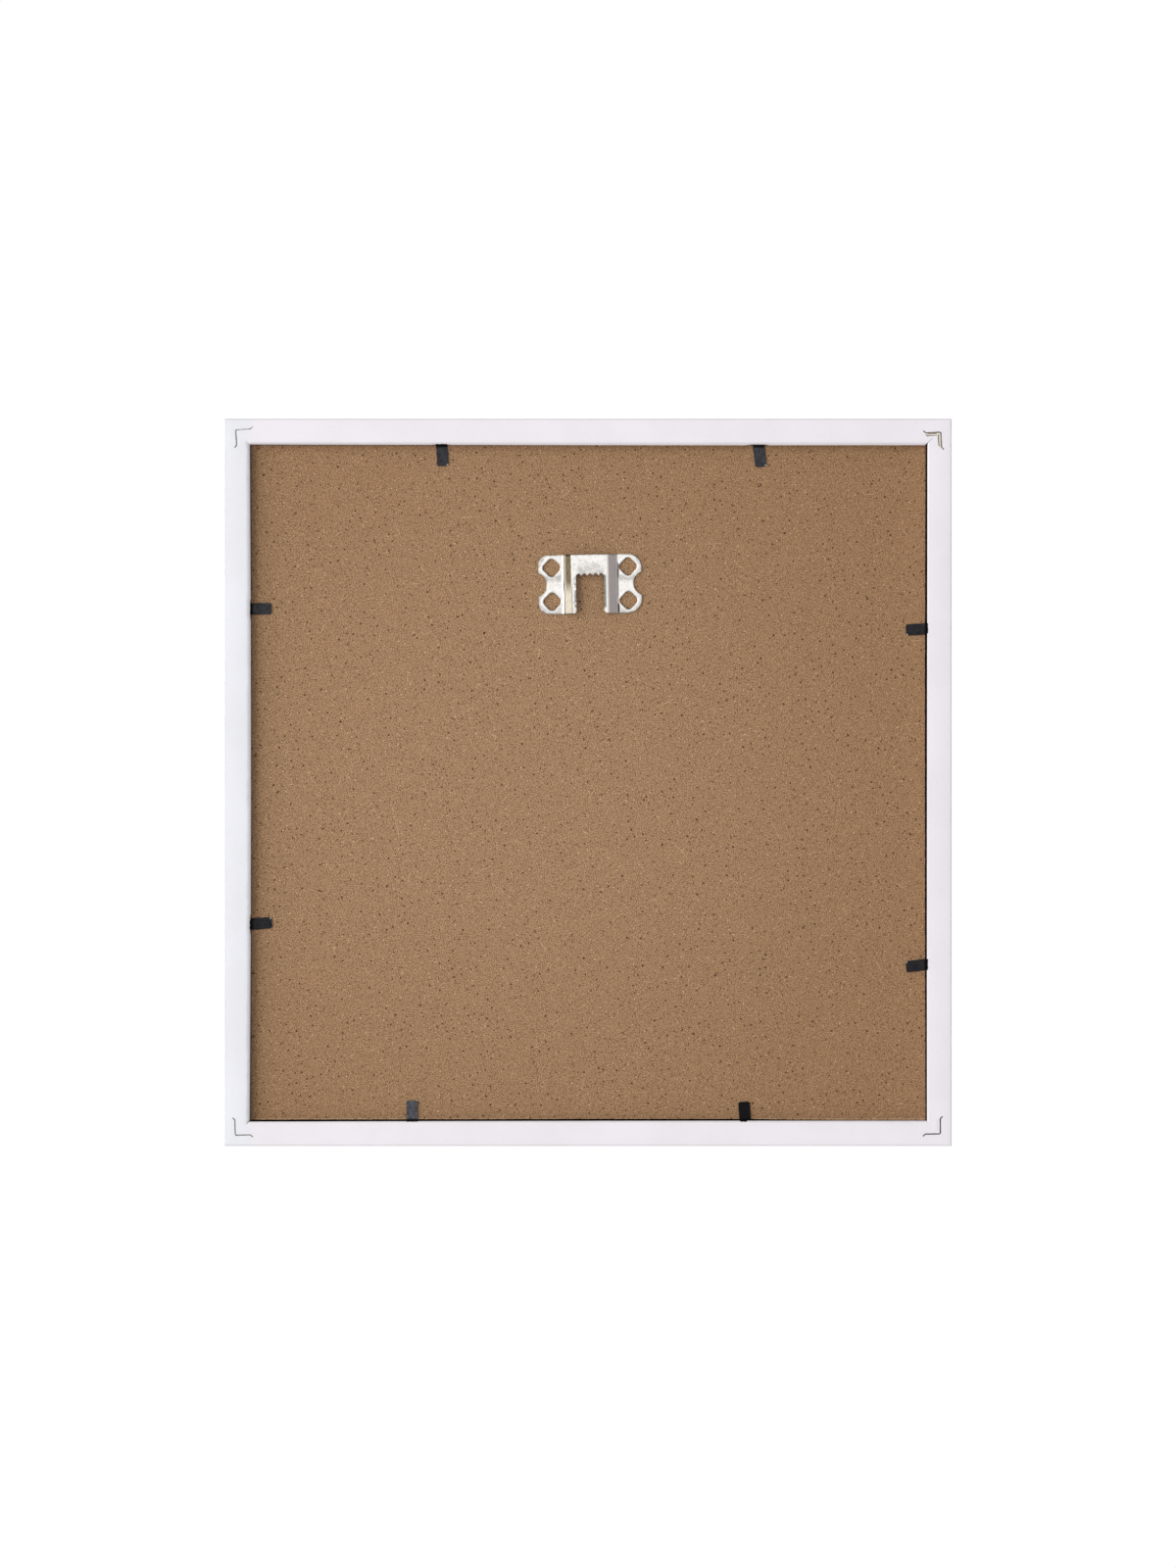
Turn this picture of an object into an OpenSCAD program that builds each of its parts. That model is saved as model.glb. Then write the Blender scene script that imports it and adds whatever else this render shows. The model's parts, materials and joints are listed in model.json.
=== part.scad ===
// Square wooden picture frame for a 30 x 30 cm sheet, hung on the wall by a sawtooth hanger.
// It stands upright: X runs across, Z runs up, the picture faces -Y and the wall lies on +Y.
// Left and right are as seen from the picture side, with +X on the right.
// The origin is the nail seat: the middle notch of the hanger, half way through its sheet metal.

/* [Sheets in the rebate] */
// Width of the glass, the insert and the backing board
sheet_w = 300; // [200:1:600]
// Height of the glass, the insert and the backing board
sheet_h = 300; // [200:1:600]
// Play between the sheets and the rebate wall, on each side
sheet_play = 0.75; // [0.5:0.05:1.5]
// Thickness of the glass
glass_t = 2; // [1:0.1:3]
// Thickness of the blank insert
insert_t = 0.3; // [0.1:0.05:1.5]
// Thickness of the hardboard backing
board_t = 2.5; // [2.4:0.1:3.6]
// Bevel along the back edges of the hardboard
board_bevel = 0.4; // [0.1:0.05:0.8]

/* [Moulding] */
// Width of the front face of a rail
moulding_w = 16; // [14:0.5:40]
// Depth of a rail from the front face to the back face
moulding_d = 15; // [14:0.5:30]
// How far the front lip reaches over the glass
lip_w = 4.75; // [3:0.25:7]
// Thickness of the front lip
lip_t = 5.5; // [3:0.1:6.5]
// Rounding of the two front edges
front_r = 0.8; // [0.3:0.1:1.4]
// Rounding of the outer back edge
outer_r = 1.2; // [0.3:0.1:2]
// Rounding of the back edge of the rebate
inner_r = 1.5; // [0.3:0.1:2]

/* [Corner nails] */
// Length of each leg of a V-nail
nail_leg = 6.7; // [5:0.1:8]
// Length of the turned-out end of each leg
nail_flare = 1.4; // [0.8:0.1:2]
// How far each turned-out end leans from its leg
nail_flare_angle = 42; // [20:1:60]
// Thickness of the nail's steel strip
nail_t = 0.45; // [0.3:0.05:0.7]
// Height of the nail in the wood
nail_h = 7; // [5:0.5:10]
// How far the nail is driven below the back face
nail_sink = 0.2; // [0.1:0.05:0.6]
// Distance of the nail's bend from both outer edges
nail_inset = 5; // [4:0.1:6.5]
// Inside radius of the nail's bends
nail_bend_r = 0.4; // [0.3:0.05:0.6]

/* [Flexible tabs] */
// Width of the steel strip
tab_w = 5.1; // [4:0.1:8]
// Thickness of the steel strip
tab_t = 0.4; // [0.3:0.05:0.5]
// How far a tab of full reach lies over the board from the rebate wall
tab_out = 9.7; // [7:0.1:14]
// How far a tab is driven into the rebate wall
tab_in = 6; // [4:0.1:7.5]
// Rounding of the corners at the visible tip
tab_tip_r = 0.9; // [0.3:0.1:1.8]
// Length of the chisel point at the driven end
tab_point = 1.6; // [0.5:0.1:2.5]
// Width left at the end of the chisel point
tab_point_w = 2; // [1:0.1:3]
// Distance of the bend line from the rebate wall
bend_off = 0.5; // [0.4:0.05:0.7]
// Clearance between the closed tab and the board
tab_lift = 0.1; // [0.05:0.05:0.4]
// Running gap between the leaf that bends and the stub in the wall
leaf_gap = 0.08; // [0.05:0.01:0.1]

/* [Sawtooth hanger] */
// Thickness of the hanger's sheet steel
hanger_t = 0.7; // [0.5:0.1:0.9]
// Height of the hanger's plate
hanger_h = 26.3; // [24:0.1:34]
// Width of each flat wing that lies on the board
wing_w = 10.8; // [10:0.1:16]
// Run of each ramp between a wing and the raised bridge
ramp_run = 4.1; // [3:0.1:7]
// Clear height under the raised bridge
bridge_lift = 2.2; // [1.2:0.1:2.3]
// Width of the flat strip on each side of the nail slot
strip_w = 2.1; // [1.2:0.1:4]
// Inside radius of the four bends
hanger_bend_r = 0.5; // [0.2:0.1:1]
// Rounding of the four outer corners
hanger_corner_r = 4.4; // [1:0.1:4.6]
// Rounding of the feet beside the nail slot
foot_r = 1.4; // [0.2:0.1:1.8]
// Number of whole teeth, with a notch on each side of every tooth
teeth = 4; // [2:2:8]
// Distance from notch to notch
tooth_pitch = 2.52; // [1.8:0.02:3.2]
// Height of a tooth
tooth_h = 1.13; // [0.6:0.01:1.8]
// Distance from the outermost notch to the side of the slot
slot_margin = 1; // [0.6:0.1:1.4]
// Height of the notches above the middle of the plate
seat_over_plate = 4.76; // [3:0.02:7]
// Width of a diamond hole across its corners
hole_w = 7.2; // [5:0.1:7.6]
// Height of a diamond hole across its corners
hole_h = 8.1; // [5:0.1:8.6]
// Rounding of a diamond hole's corners
hole_r = 1.6; // [0.2:0.1:1.8]
// Distance of the hole centres from the end of their wing
hole_in = 6; // [5.4:0.1:6.4]
// Distance between the two hole centres on one wing
hole_pitch = 15.1; // [14:0.1:15.4]
// Width of the round bite at the end of each wing
bite_w = 10.3; // [6:0.1:11]
// Depth of the round bite
bite_d = 3.7; // [1.5:0.1:4]
// Width of a prong where it leaves the side of its hole
prong_w = 4; // [2:0.1:4.4]
// How far a prong is pressed into the board
prong_l = 2.2; // [1.2:0.1:2.2]
// Distance of the nail seat below the top edge of the frame
seat_drop = 68.8; // [40:0.2:110]
// How far the nail seat lies to the left of the middle of the frame
seat_shift = 0.85; // [0:0.05:4]
// Tilt of the hanger on the board
hanger_tilt = 1.1; // [0:0.1:3]

/* [Hidden] */
$fn = 48;
// Steps in each eased corner or bend of an outline
arc_steps = 4;
// Overrun of every cutting shape
cut = 1;

// Widths that follow from the sizes above
wall_w = moulding_w - lip_w;
rebate_w = sheet_w + 2 * sheet_play;
rebate_h = sheet_h + 2 * sheet_play;
outer_w = rebate_w + 2 * wall_w;
outer_h = rebate_h + 2 * wall_w;

// Depths, counted back from the front face
glass_y = lip_t;
insert_y = glass_y + glass_t;
board_y = insert_y + insert_t;
back_y = board_y + board_t;
tab_y = back_y + tab_lift + tab_t / 2;
seat_y = back_y + bridge_lift + hanger_t / 2;
nail_y = moulding_d - nail_sink - nail_h;

// The hanger's row of teeth sets its slot, and the slot sets the plate
slot_w = teeth * tooth_pitch + 2 * slot_margin;
bridge_w = slot_w + 2 * strip_w;
ramp_x = bridge_w / 2 + ramp_run;
hanger_w = 2 * (ramp_x + wing_w);
bite_r = (pow(bite_w / 2, 2) + pow(bite_d, 2)) / (2 * bite_d);

// Sides and corners in turn, from the top and clockwise as seen from the picture side
SIDES = ["top", "right", "bottom", "left"];
CORNERS = ["top_right", "bottom_right", "bottom_left", "top_left"];
// How far each corner's nail is turned from square, in degrees, and how far it sits off its place, along the side
// and outwards
NAIL_places = [
    [4, 0, 0],
    [1.5, 0.2, 0.15],
    [0.7, 0, -0.4],
    [3, -0.95, 0.15]
];
// Name, side, place as a share of half the side, skew in degrees, and reach as a share of tab_out
TAB_shares = [
    ["top_right", 0, 0.433, 3.4, 1],
    ["top_left", 0, -0.504, 6.5, 1.04],
    ["right_upper", 1, -0.513, 1, 0.98],
    ["right_lower", 1, 0.42, 4.6, 1.01],
    ["bottom_right", 2, -0.52, 1.6, 0.91],
    ["bottom_left", 2, 0.465, 4.5, 0.86],
    ["left_upper", 3, 0.454, 3.4, 0.93],
    ["left_lower", 3, -0.539, 6.6, 0.925]
];
TABS = [0 : len(TAB_shares) - 1];
ALL_SIDES = [0 : 3];

// Outlines

// The first two coordinates of a point
function flat(p) = [p.x, p.y];

// The direction from one point to another
function towards(a, b) = (b - a) / norm(b - a);

// A vector turned by an angle
function turned(v, angle) = [v.x * cos(angle) - v.y * sin(angle), v.x * sin(angle) + v.y * cos(angle)];

// Corner b between a and c, as the points of an arc of radius r
function eased_corner(a, b, c, r) =
    let (
        before = towards(a, b),
        after = towards(b, c),
        turn = atan2(cross(before, after), before * after),
        start = b - before * r * tan(abs(turn) / 2),
        centre = start + turned(before, 90) * sign(turn) * r
    )
    r == 0 ? [b] : [for (j = [0 : arc_steps]) centre + turned(start - centre, turn * j / arc_steps)];

// A closed outline from [x, y, radius] corners
function eased(corners) =
    let (n = len(corners))
    [for (i = [0 : n - 1])
        each eased_corner(
            flat(corners[(i + n - 1) % n]), flat(corners[i]), flat(corners[(i + 1) % n]), corners[i][2]
        )
    ];

// An open line with every inner corner bent to radius r
function bent(points, r) =
    let (last = len(points) - 1)
    [for (i = [0 : last])
        each i == 0 || i == last ? [points[i]]
            : eased_corner(points[i - 1], points[i], points[i + 1], r)
    ];

// How far point i of a line moves when the line moves sideways by one
function sideways(line, i) =
    let (
        before = towards(line[max(i - 1, 0)], line[max(i, 1)]),
        after = towards(line[min(i, len(line) - 2)], line[min(i + 1, len(line) - 1)])
    )
    turned(before + after, 90) / (1 + before * after);

// The outline of a strip of thickness t that is centred on a line
function strip(line, t) =
    let (last = len(line) - 1)
    concat(
        [for (i = [0 : last]) line[i] + sideways(line, i) * t / 2],
        [for (i = [last : -1 : 0]) line[i] - sideways(line, i) * t / 2]
    );

// Places

// Raises a drawing in X and Z into a solid between two depths
module upright(y0, y1) translate([0, y1, 0]) rotate([90, 0, 0]) linear_extrude(y1 - y0) children();

// Runs a drawing along X: its x points down and its y points back
module along(length) rotate([0, 90, 0]) linear_extrude(length, center = true) children();

// Moves from the middle of the front face to the nail seat
module from_middle() translate([seat_shift, -seat_y, seat_drop - outer_h / 2]) children();

// The length of a side over its outer corners, and of its rebate
function side_length(k) = k % 2 == 0 ? outer_w : outer_h;
function rebate_length(k) = k % 2 == 0 ? rebate_w : rebate_h;

// The middle of a side's outer face, with X along the side and Z out of the frame
module at_side(k) rotate([0, 90 * k, 0]) translate([0, 0, side_length(k + 1) / 2]) children();

// The bend of a corner's nail, with the legs along -X and -Z
module at_corner(k)
    at_side(k)
        translate([side_length(k) / 2 - nail_inset + NAIL_places[k][1], 0, NAIL_places[k][2] - nail_inset])
            rotate([0, NAIL_places[k][0], 0]) children();

// The point where a tab leaves the rebate wall, half way through its strip
module at_tab(i)
    at_side(TAB_shares[i][1])
        translate([TAB_shares[i][2] * rebate_length(TAB_shares[i][1]) / 2, tab_y, -wall_w]) children();

// The middle of the hanger's plate, on the back of the board
module at_hanger()
    rotate([0, hanger_tilt, 0])
        translate([0, -bridge_lift - hanger_t / 2, -seat_over_plate]) children();

// Moulding

// What rounding a square corner at the origin takes away
module corner_waste(r) difference() {
    translate([-cut, -cut]) square([r + cut, r + cut]);
    translate([r, r]) circle(r);
}

// Section of the moulding: x from the outer face to the picture, y from the front to the back
module moulding_section() difference() {
    square([moulding_w, moulding_d]);
    translate([wall_w, lip_t]) square([lip_w + cut, moulding_d]);
    corner_waste(front_r);
    translate([moulding_w, 0]) mirror([1, 0]) corner_waste(front_r);
    translate([0, moulding_d]) mirror([0, 1]) corner_waste(outer_r);
    translate([wall_w, moulding_d]) rotate(180) corner_waste(inner_r);
}

// The space between the two 45 degree saw cuts of a rail
module mitre_space(length) {
    reach = length / 2 + cut;
    depth = moulding_w + cut;
    upright(-cut, moulding_d + cut)
        polygon([[-reach, cut], [reach, cut], [length / 2 - depth, -depth], [depth - length / 2, -depth]]);
}

// Corner nails

// A V-nail's strip in plan, with its bend at the origin
module nail_plan() {
    flare = nail_flare * [cos(nail_flare_angle), sin(nail_flare_angle)];
    leg_line = [[-nail_leg - flare.x, flare.y], [-nail_leg, 0]];
    line = concat(leg_line, [[0, 0]], [for (p = [leg_line[1], leg_line[0]]) [p.y, p.x]]);
    polygon(strip(bent(line, nail_bend_r + nail_t / 2), nail_t));
}

module nail_shape(k, top) at_corner(k) upright(nail_y, top) nail_plan();

// Tabs

// A whole tab in plan, before its end is cut for the bend
module tab_plan(reach) polygon(eased([
    [-tab_w / 2, -reach, tab_tip_r],
    [tab_w / 2, -reach, tab_tip_r],
    [tab_w / 2, tab_in - tab_point, 0],
    [tab_point_w / 2, tab_in, 0],
    [-tab_point_w / 2, tab_in, 0],
    [-tab_w / 2, tab_in - tab_point, 0]
]));

module tab_strip(i) rotate([0, TAB_shares[i][3], 0]) upright(-tab_t, tab_t) tab_plan(TAB_shares[i][4] * tab_out);

// The part in the wood, which ends in a short stub in front of the bend
module blade_shape(i) {
    stub = bend_off - tab_t / 2 - leaf_gap;
    at_tab(i) intersection() {
        tab_strip(i);
        translate([-tab_w, -tab_t / 2, -stub]) cube([2 * tab_w, tab_t, tab_in + tab_w]);
    }
}

// The part that bends, rounded at its root about the bend line
module leaf_shape(i) at_tab(i) intersection() {
    tab_strip(i);
    along(3 * tab_w) {
        translate([bend_off, 0]) circle(tab_t / 2);
        translate([bend_off, -tab_t / 2]) square([tab_out + cut, tab_t]);
    }
}

// Hanger

// A diamond with rounded corners, whose sharp corners would lie at half_w and half_h
module diamond(half_w, half_h) polygon(eased([
    [half_w, 0, hole_r], [0, half_h, hole_r], [-half_w, 0, hole_r], [0, -half_h, hole_r]
]));

// Half sizes of the diamond that rounds to the hole's own width and height
hole_angle = atan2(hole_h, hole_w);
hole_half_w = hole_w / 2 + hole_r * (1 / sin(hole_angle) - 1);
hole_half_h = hole_h / 2 + hole_r * (1 / cos(hole_angle) - 1);

module at_holes()
    for (side = [-1, 1], end = [-1, 1])
        translate([side * (hanger_w / 2 - hole_in), 0, end * hole_pitch / 2]) children();

// The edge of the slot that the nail sees: notches level with the seat, teeth between them
function slot_edge() =
    let (
        slope = tooth_h / (tooth_pitch / 2),
        shoulder = seat_over_plate - slot_margin * slope,
        points = [for (j = [-teeth : teeth])
            [-j * tooth_pitch / 2, seat_over_plate - (abs(j + teeth) % 2) * tooth_h, 0]]
    )
    concat([[slot_w / 2, shoulder, 0]], points, [[-slot_w / 2, shoulder, 0]]);

module hanger_plan() difference() {
    polygon(eased(concat(
        [[-hanger_w / 2, hanger_h / 2, hanger_corner_r]],
        [[hanger_w / 2, hanger_h / 2, hanger_corner_r]],
        [[hanger_w / 2, -hanger_h / 2, hanger_corner_r]],
        [[slot_w / 2, -hanger_h / 2, foot_r]],
        slot_edge(),
        [[-slot_w / 2, -hanger_h / 2, foot_r]],
        [[-hanger_w / 2, -hanger_h / 2, hanger_corner_r]]
    )));
    for (side = [-1, 1])
        translate([side * (hanger_w / 2 + bite_r - bite_d), 0]) circle(bite_r);
}

// The bent sheet seen from its end: wings on the board, ramps, and the bridge above the board
module hanger_profile() {
    low = hanger_t / 2;
    high = bridge_lift + hanger_t / 2;
    line = [
        [-hanger_w / 2 - cut, low], [-ramp_x, low], [-bridge_w / 2, high],
        [bridge_w / 2, high], [ramp_x, low], [hanger_w / 2 + cut, low]
    ];
    polygon(strip(bent(line, hanger_bend_r + hanger_t / 2), hanger_t));
}

// One prong, turned down at the side of its hole, with its root in the sheet
module prong() {
    root = hanger_t / 2;
    linear_extrude(hanger_t)
        polygon([[-prong_w / 2, root], [-prong_w / 2, 0], [0, -prong_l], [prong_w / 2, 0], [prong_w / 2, root]]);
}

// The four prongs of every hole
module prongs() {
    facing = atan2(hole_half_h, hole_half_w);
    at_holes()
        for (side = [-1, 1], end = [-1, 1])
            translate([side * hole_half_w / 2, 0, end * hole_half_h / 2])
                rotate([0, end > 0 ? side * facing : side * (180 - facing), 0]) prong();
}

// Sub-parts

module rail(k) color("#ece9ee") from_middle() difference() {
    at_side(k) intersection() {
        along(side_length(k) + cut) moulding_section();
        mitre_space(side_length(k));
    }
    for (corner = [k, (k + 3) % 4]) nail_shape(corner, moulding_d + cut);
    for (i = TABS) if (TAB_shares[i][1] == k) blade_shape(i);
}

module corner_nail(k) color("#9a9a94") from_middle() nail_shape(k, moulding_d - nail_sink);

module glass_pane() color("#cfe3e0", 0.35) from_middle()
    upright(glass_y, insert_y) square([sheet_w, sheet_h], center = true);

module insert_sheet() color("#f4f2ec") from_middle()
    upright(insert_y, board_y) square([sheet_w, sheet_h], center = true);

// Section of the board along one direction, bevelled at its back edges
module board_section(width) polygon([
    [-width / 2, 0], [width / 2, 0], [width / 2, board_t - board_bevel],
    [width / 2 - board_bevel, board_t], [board_bevel - width / 2, board_t], [-width / 2, board_t - board_bevel]
]);

module backing_board() color("#9f8061") difference() {
    from_middle() translate([0, board_y, 0]) intersection() {
        linear_extrude(sheet_h, center = true) board_section(sheet_w);
        along(sheet_w + cut) board_section(sheet_h);
    }
    at_hanger() prongs();
}

module sawtooth_hanger() color("#d9d8d2") at_hanger() {
    difference() {
        intersection() {
            linear_extrude(hanger_h + cut, center = true) hanger_profile();
            upright(-cut, bridge_lift + hanger_t + cut) hanger_plan();
        }
        at_holes() upright(-cut, hanger_t + cut) diamond(hole_half_w, hole_half_h);
    }
    prongs();
}

module tab_blade(i) color("#2e2e32") from_middle() blade_shape(i);

module tab_leaf(i) color("#3b3b40") from_middle() leaf_shape(i);

for (k = ALL_SIDES) rail(k);
for (k = ALL_SIDES) corner_nail(k);
glass_pane();
insert_sheet();
backing_board();
sawtooth_hanger();
for (i = TABS) tab_blade(i);
for (i = TABS) tab_leaf(i);
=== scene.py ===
"""Looks of a square white picture frame, seen from behind: mitred rails, hardboard back, flexible tabs and a
sawtooth hanger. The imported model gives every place. Sizes are in millimetres up to the last step, row().

Rails, board, hanger and tab leaves are new meshes around the same sizes as the solids. The other solids stay and
get better materials. Left and right are as seen from the picture side, so +X is on the left of the main view.
"""
import json
import math
from collections import namedtuple

import bmesh
import bpy
import numpy as np
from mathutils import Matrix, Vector, noise
from mathutils.geometry import delaunay_2d_cdt


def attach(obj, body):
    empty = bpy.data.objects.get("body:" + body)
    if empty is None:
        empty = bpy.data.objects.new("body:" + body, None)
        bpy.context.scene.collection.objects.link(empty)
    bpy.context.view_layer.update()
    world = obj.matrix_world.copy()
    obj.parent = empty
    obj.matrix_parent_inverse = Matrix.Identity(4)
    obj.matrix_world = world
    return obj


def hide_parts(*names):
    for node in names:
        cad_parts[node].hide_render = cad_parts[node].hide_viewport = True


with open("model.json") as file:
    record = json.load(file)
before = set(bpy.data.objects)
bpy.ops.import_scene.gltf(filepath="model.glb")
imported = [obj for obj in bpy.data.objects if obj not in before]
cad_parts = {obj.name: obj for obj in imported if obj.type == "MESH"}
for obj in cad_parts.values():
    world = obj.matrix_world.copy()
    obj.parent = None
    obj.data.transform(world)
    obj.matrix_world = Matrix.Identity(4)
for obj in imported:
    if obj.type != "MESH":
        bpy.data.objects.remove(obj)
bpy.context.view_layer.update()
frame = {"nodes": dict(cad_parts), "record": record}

MM = 0.001
scene = bpy.context.scene

# Sizes of the part, in millimetres
SHEET, PLAY = 300.0, 0.75
MOULDING_W, MOULDING_D, LIP_W, LIP_T = 16.0, 15.0, 4.75, 5.5
FRONT_R, OUTER_R = 0.8, 0.5
BOARD_BACK = 10.3
NAIL_LEG, NAIL_FLARE, NAIL_FLARE_ANGLE, NAIL_T = 6.7, 1.4, 42.0, 0.45
NAIL_INSET, NAIL_BEND_R, NAIL_SINK = 5.0, 0.4, 0.2
# Turn of every corner's nail, and how far it sits off its place, along the side and outwards
NAIL_PLACES = ((4.0, 0, 0), (1.5, 0.2, 0.15), (0.7, 0, -0.4), (3.0, -0.95, 0.15))
TAB_W, TAB_T, TAB_OUT, TAB_TIP_R, BEND_OFF, TAB_LIFT = 5.1, 0.4, 9.7, 0.9, 0.5, 0.1
HANGER_T, HANGER_H, WING_W, RAMP_RUN, BRIDGE_LIFT, STRIP_W = 0.7, 26.3, 10.8, 4.1, 2.2, 1.98
HANGER_BEND_R, FOOT_R, SHOULDER_R, TOOTH_R, BITE_EDGE_R = 0.5, 1.4, 0.15, 0.1, 0.5
# Radius of the plate's corners, lower and upper, at -x and at +x
HANGER_CORNERS = ((6.4, 6.0), (4.8, 4.5))
TEETH, TOOTH_PITCH, TOOTH_H, SLOT_MARGIN, SEAT_OVER_PLATE = 4, 2.52, 1.13, 1.12, 4.76
HOLE_W, HOLE_H, HOLE_R, HOLE_IN, HOLE_PITCH = 7.8, 7.9, 1.9, 6.0, 15.1
BITE_W, BITE_D = 10.3, 3.7
PRONG_W, PRONG_L, PRONG_INSET = 4.0, 2.2, 0.02
SEAT_DROP, SEAT_SHIFT, HANGER_TILT = 68.8, 0.85, 1.1

WALL_W = MOULDING_W - LIP_W
REBATE = SHEET + 2 * PLAY
OUTER = REBATE + 2 * WALL_W
HALF = OUTER / 2
TAB_Y = BOARD_BACK + TAB_LIFT + TAB_T / 2
SEAT_Y = BOARD_BACK + BRIDGE_LIFT + HANGER_T / 2
SLOT_W = TEETH * TOOTH_PITCH + 2 * SLOT_MARGIN
BRIDGE_W = SLOT_W + 2 * STRIP_W
RAMP_X = BRIDGE_W / 2 + RAMP_RUN
HANGER_W = 2 * (RAMP_X + WING_W)

SIDES = ("top", "right", "bottom", "left")
CORNERS = ("top_right", "bottom_right", "bottom_left", "top_left")
# place is a share of half the side, skew is in degrees, reach is a share of TAB_OUT, lift is how far the tip stands
# off the board, grey is as on screen, bare is how bare the tip's corner at -x or +x is, from -1 to 1, and notch is
# what is crushed in the wood: its two ends as shares of the width, and its depth
Tab = namedtuple("Tab", "name side place skew reach lift grey bare notch")
TABS = [Tab(*values) for values in (
    ("top_right", 0, 0.433, 3.4, 1.0, 0.2, 57, -1, (-0.5, 0.5, 0.4)),
    ("top_left", 0, -0.504, 6.5, 1.04, 0.1, 62, -1, (-0.5, 0.5, 0.15)),
    ("right_upper", 1, -0.513, 1.0, 0.98, 0.25, 56, 0, (-0.4, 0.5, 0.3)),
    ("right_lower", 1, 0.42, 4.6, 1.01, 0.15, 43, -1, (-0.35, 0.45, 0.45)),
    ("bottom_right", 2, -0.52, 1.6, 0.91, 0.3, 80, 0, (-0.5, 0.5, 0.2)),
    ("bottom_left", 2, 0.465, 4.5, 0.86, 0.2, 23, -0.35, (-0.45, 0.15, 0.45)),
    ("left_upper", 3, 0.454, 3.4, 0.93, 0.2, 44, -1, (-0.4, 0.5, 0.3)),
    ("left_lower", 3, -0.539, 6.6, 0.925, 0.15, 41, 1, (-0.48, 0.5, 0.4)),
)]
LEAF_STEP, LEAF_EDGE_R = 0.35, 0.12
# Width of the worn inner edge of every rail at -1, 0 and 1 along the side, the waves in it (share, rate and
# seed), and how far it turns, in degrees
ARRIS = ((1.1, 1.1, 1.6), (2.0, 2.2, 1.9), (1.1, 1.2, 1.2), (0.6, 0.35, 0.6))
ARRIS_WAVES, ARRIS_TURN = ((0.25, 55, 0), (0.2, 14, 4)), 50
# The rebate is unpainted up to this far from the front
PAINT_EDGE = 10.0
RAIL_STATIONS = 325
# How far the back edge of the rebate wall stands in from its drawn place at -1, 0 and 1 along every side, and how
# far its foot does
WALLS = ((0.5, 0.5, 0.05), (-0.05, 0.53, -0.15), (-0.42, -0.07, 0.02), (-0.3, -0.3, -0.6))
FEET = (0.25, 0.3, -0.5, -0.6)
# Beside a tab the wall stands in no further than this, so that the leaf can turn up: how far, and over what length
TAB_ROOM, TAB_ROOM_SPREAD, TAB_ROOM_EASE = 0.15, 0.9, 1.2
# Every cut and drawn line runs this far past where it has to
OVERRUN = 1
# Dents beside the two legs of every corner nail, along -x and along -z: width and depth
DENTS = (((1.2, 0.06), (1.1, 0.1)), ((1.1, 0.04), (1.35, 0.07)),
         ((0.9, 0.06), (1.25, 0.14)), ((1.1, 0.2), (1.2, 0.16)))
DENT_BESIDE, DENT_START = 0.2, 0.5
# Length and half width of the open end of every mitre, how deep it goes, how far out of the rebate it starts, and
# the half width of its tip
CRACKS = ((0.5, 0.08), (3.0, 0.18), (2.0, 0.12), (5.2, 0.13))
CRACK_DEPTH, CRACK_START, CRACK_TIP = 1.6, 0.4, 0.02
# How much wider than its nail every nail's slot is, how much deeper, and how many times as long at its ends
NAIL_SLACK, NAIL_SLACK_BELOW, NAIL_SLACK_END = (0.08, 0.06, 0.1, 0.12), 0.4, 1.08
# At the torn corner, from the bend of its nail: the torn places, and the strips of broken skin along the dent
TORN_CORNER, TEAR_DEPTH = 3, 0.6
TEARS = (((-6.1, -0.95), (-6.1, -1.4), (-1.2, -1.4), (-0.7, -0.95)),
         ((-0.5, -6.7), (-1.6, -5.7), (-1.75, -5.95), (-0.6, -6.95)))
SKIN_PLACES, SKIN_W, SKIN_FROM, SKIN_TO, SKIN_DEPTH = (-0.4, -1.2), 0.28, -1.9, -5.9, 0.45
# Chips in the paint: x, z and radius
CHIP_DEPTH = 0.3
CHIPS = (
    (104.8, -154.3, 0.3), (101.4, -154.7, 0.2), (100.2, -154.8, 0.3), (98.0, -154.6, 0.2), (96.2, -154.7, 0.28),
    (95.0, -154.5, 0.25), (95.3, -155.9, 0.38), (95.0, -157.1, 0.22), (96.3, -157.7, 0.3), (102.1, -157.9, 0.18),
    (-146.5, 160.0, 0.25), (-160.6, 157.6, 0.22), (-161.3, 150.1, 0.35), (-152.7, -149.2, 0.18),
)
# Outline of the sawn board, and how uneven its edge is
BOARD_T, BOARD_EDGE_R, BOARD_STEP, BOARD_UNEVEN, BOARD_GRID = 2.5, 0.15, 1.5, 0.12, 6.0
BOARD_OUTLINE = ((-150.55, -150.6), (-110, -150.6), (-90, -150.4), (-70, -150.1), (0, -150.1), (150.3, -150.45),
                 (150.3, 150.4), (-150.55, 150.4), (-150.28, 60), (-150.28, -60))
# Steps of the hanger's outline, holes and face, its edge radius, and the columns of points beside its bends
PLATE_STEP, HOLE_STEP, PLATE_GRID, PLATE_EDGE_R = 0.4, 0.3, 0.5, 0.14
BEND_REACH, BEND_COLUMNS = 1.2, (-0.6, -0.3, 0.3, 0.6)
# The burr round every hole and the dip behind it (height, distance and width), the waves in the sheet, and the
# share of both underneath
BURRS, WAVE_RATE, WAVE_H, UNDERNEATH = ((0.16, 0.55, 0.32), (-0.05, 1.5, 0.5)), 0.16, 0.05, 0.6
# The ring round a hole that is painted brighter as a highlight, and the edges that are painted dark as shade
RIM_HIGHLIGHT_OFF, RIM_HIGHLIGHT_WIDTH, EDGE_SHADE_WIDTH, OUTER_EDGE_SHADE = 0.7, 0.55, 0.28, 0.7


# Places

def row(x, y, z):
    """A point counted from the middle of the front face, in millimetres, as a place in the row frame."""
    return Vector((x + SEAT_SHIFT, y - SEAT_Y, z + SEAT_DROP - HALF)) * MM


# The middle of the front face, in millimetres of the row frame
MIDDLE = row(0, 0, 0) / MM


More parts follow.
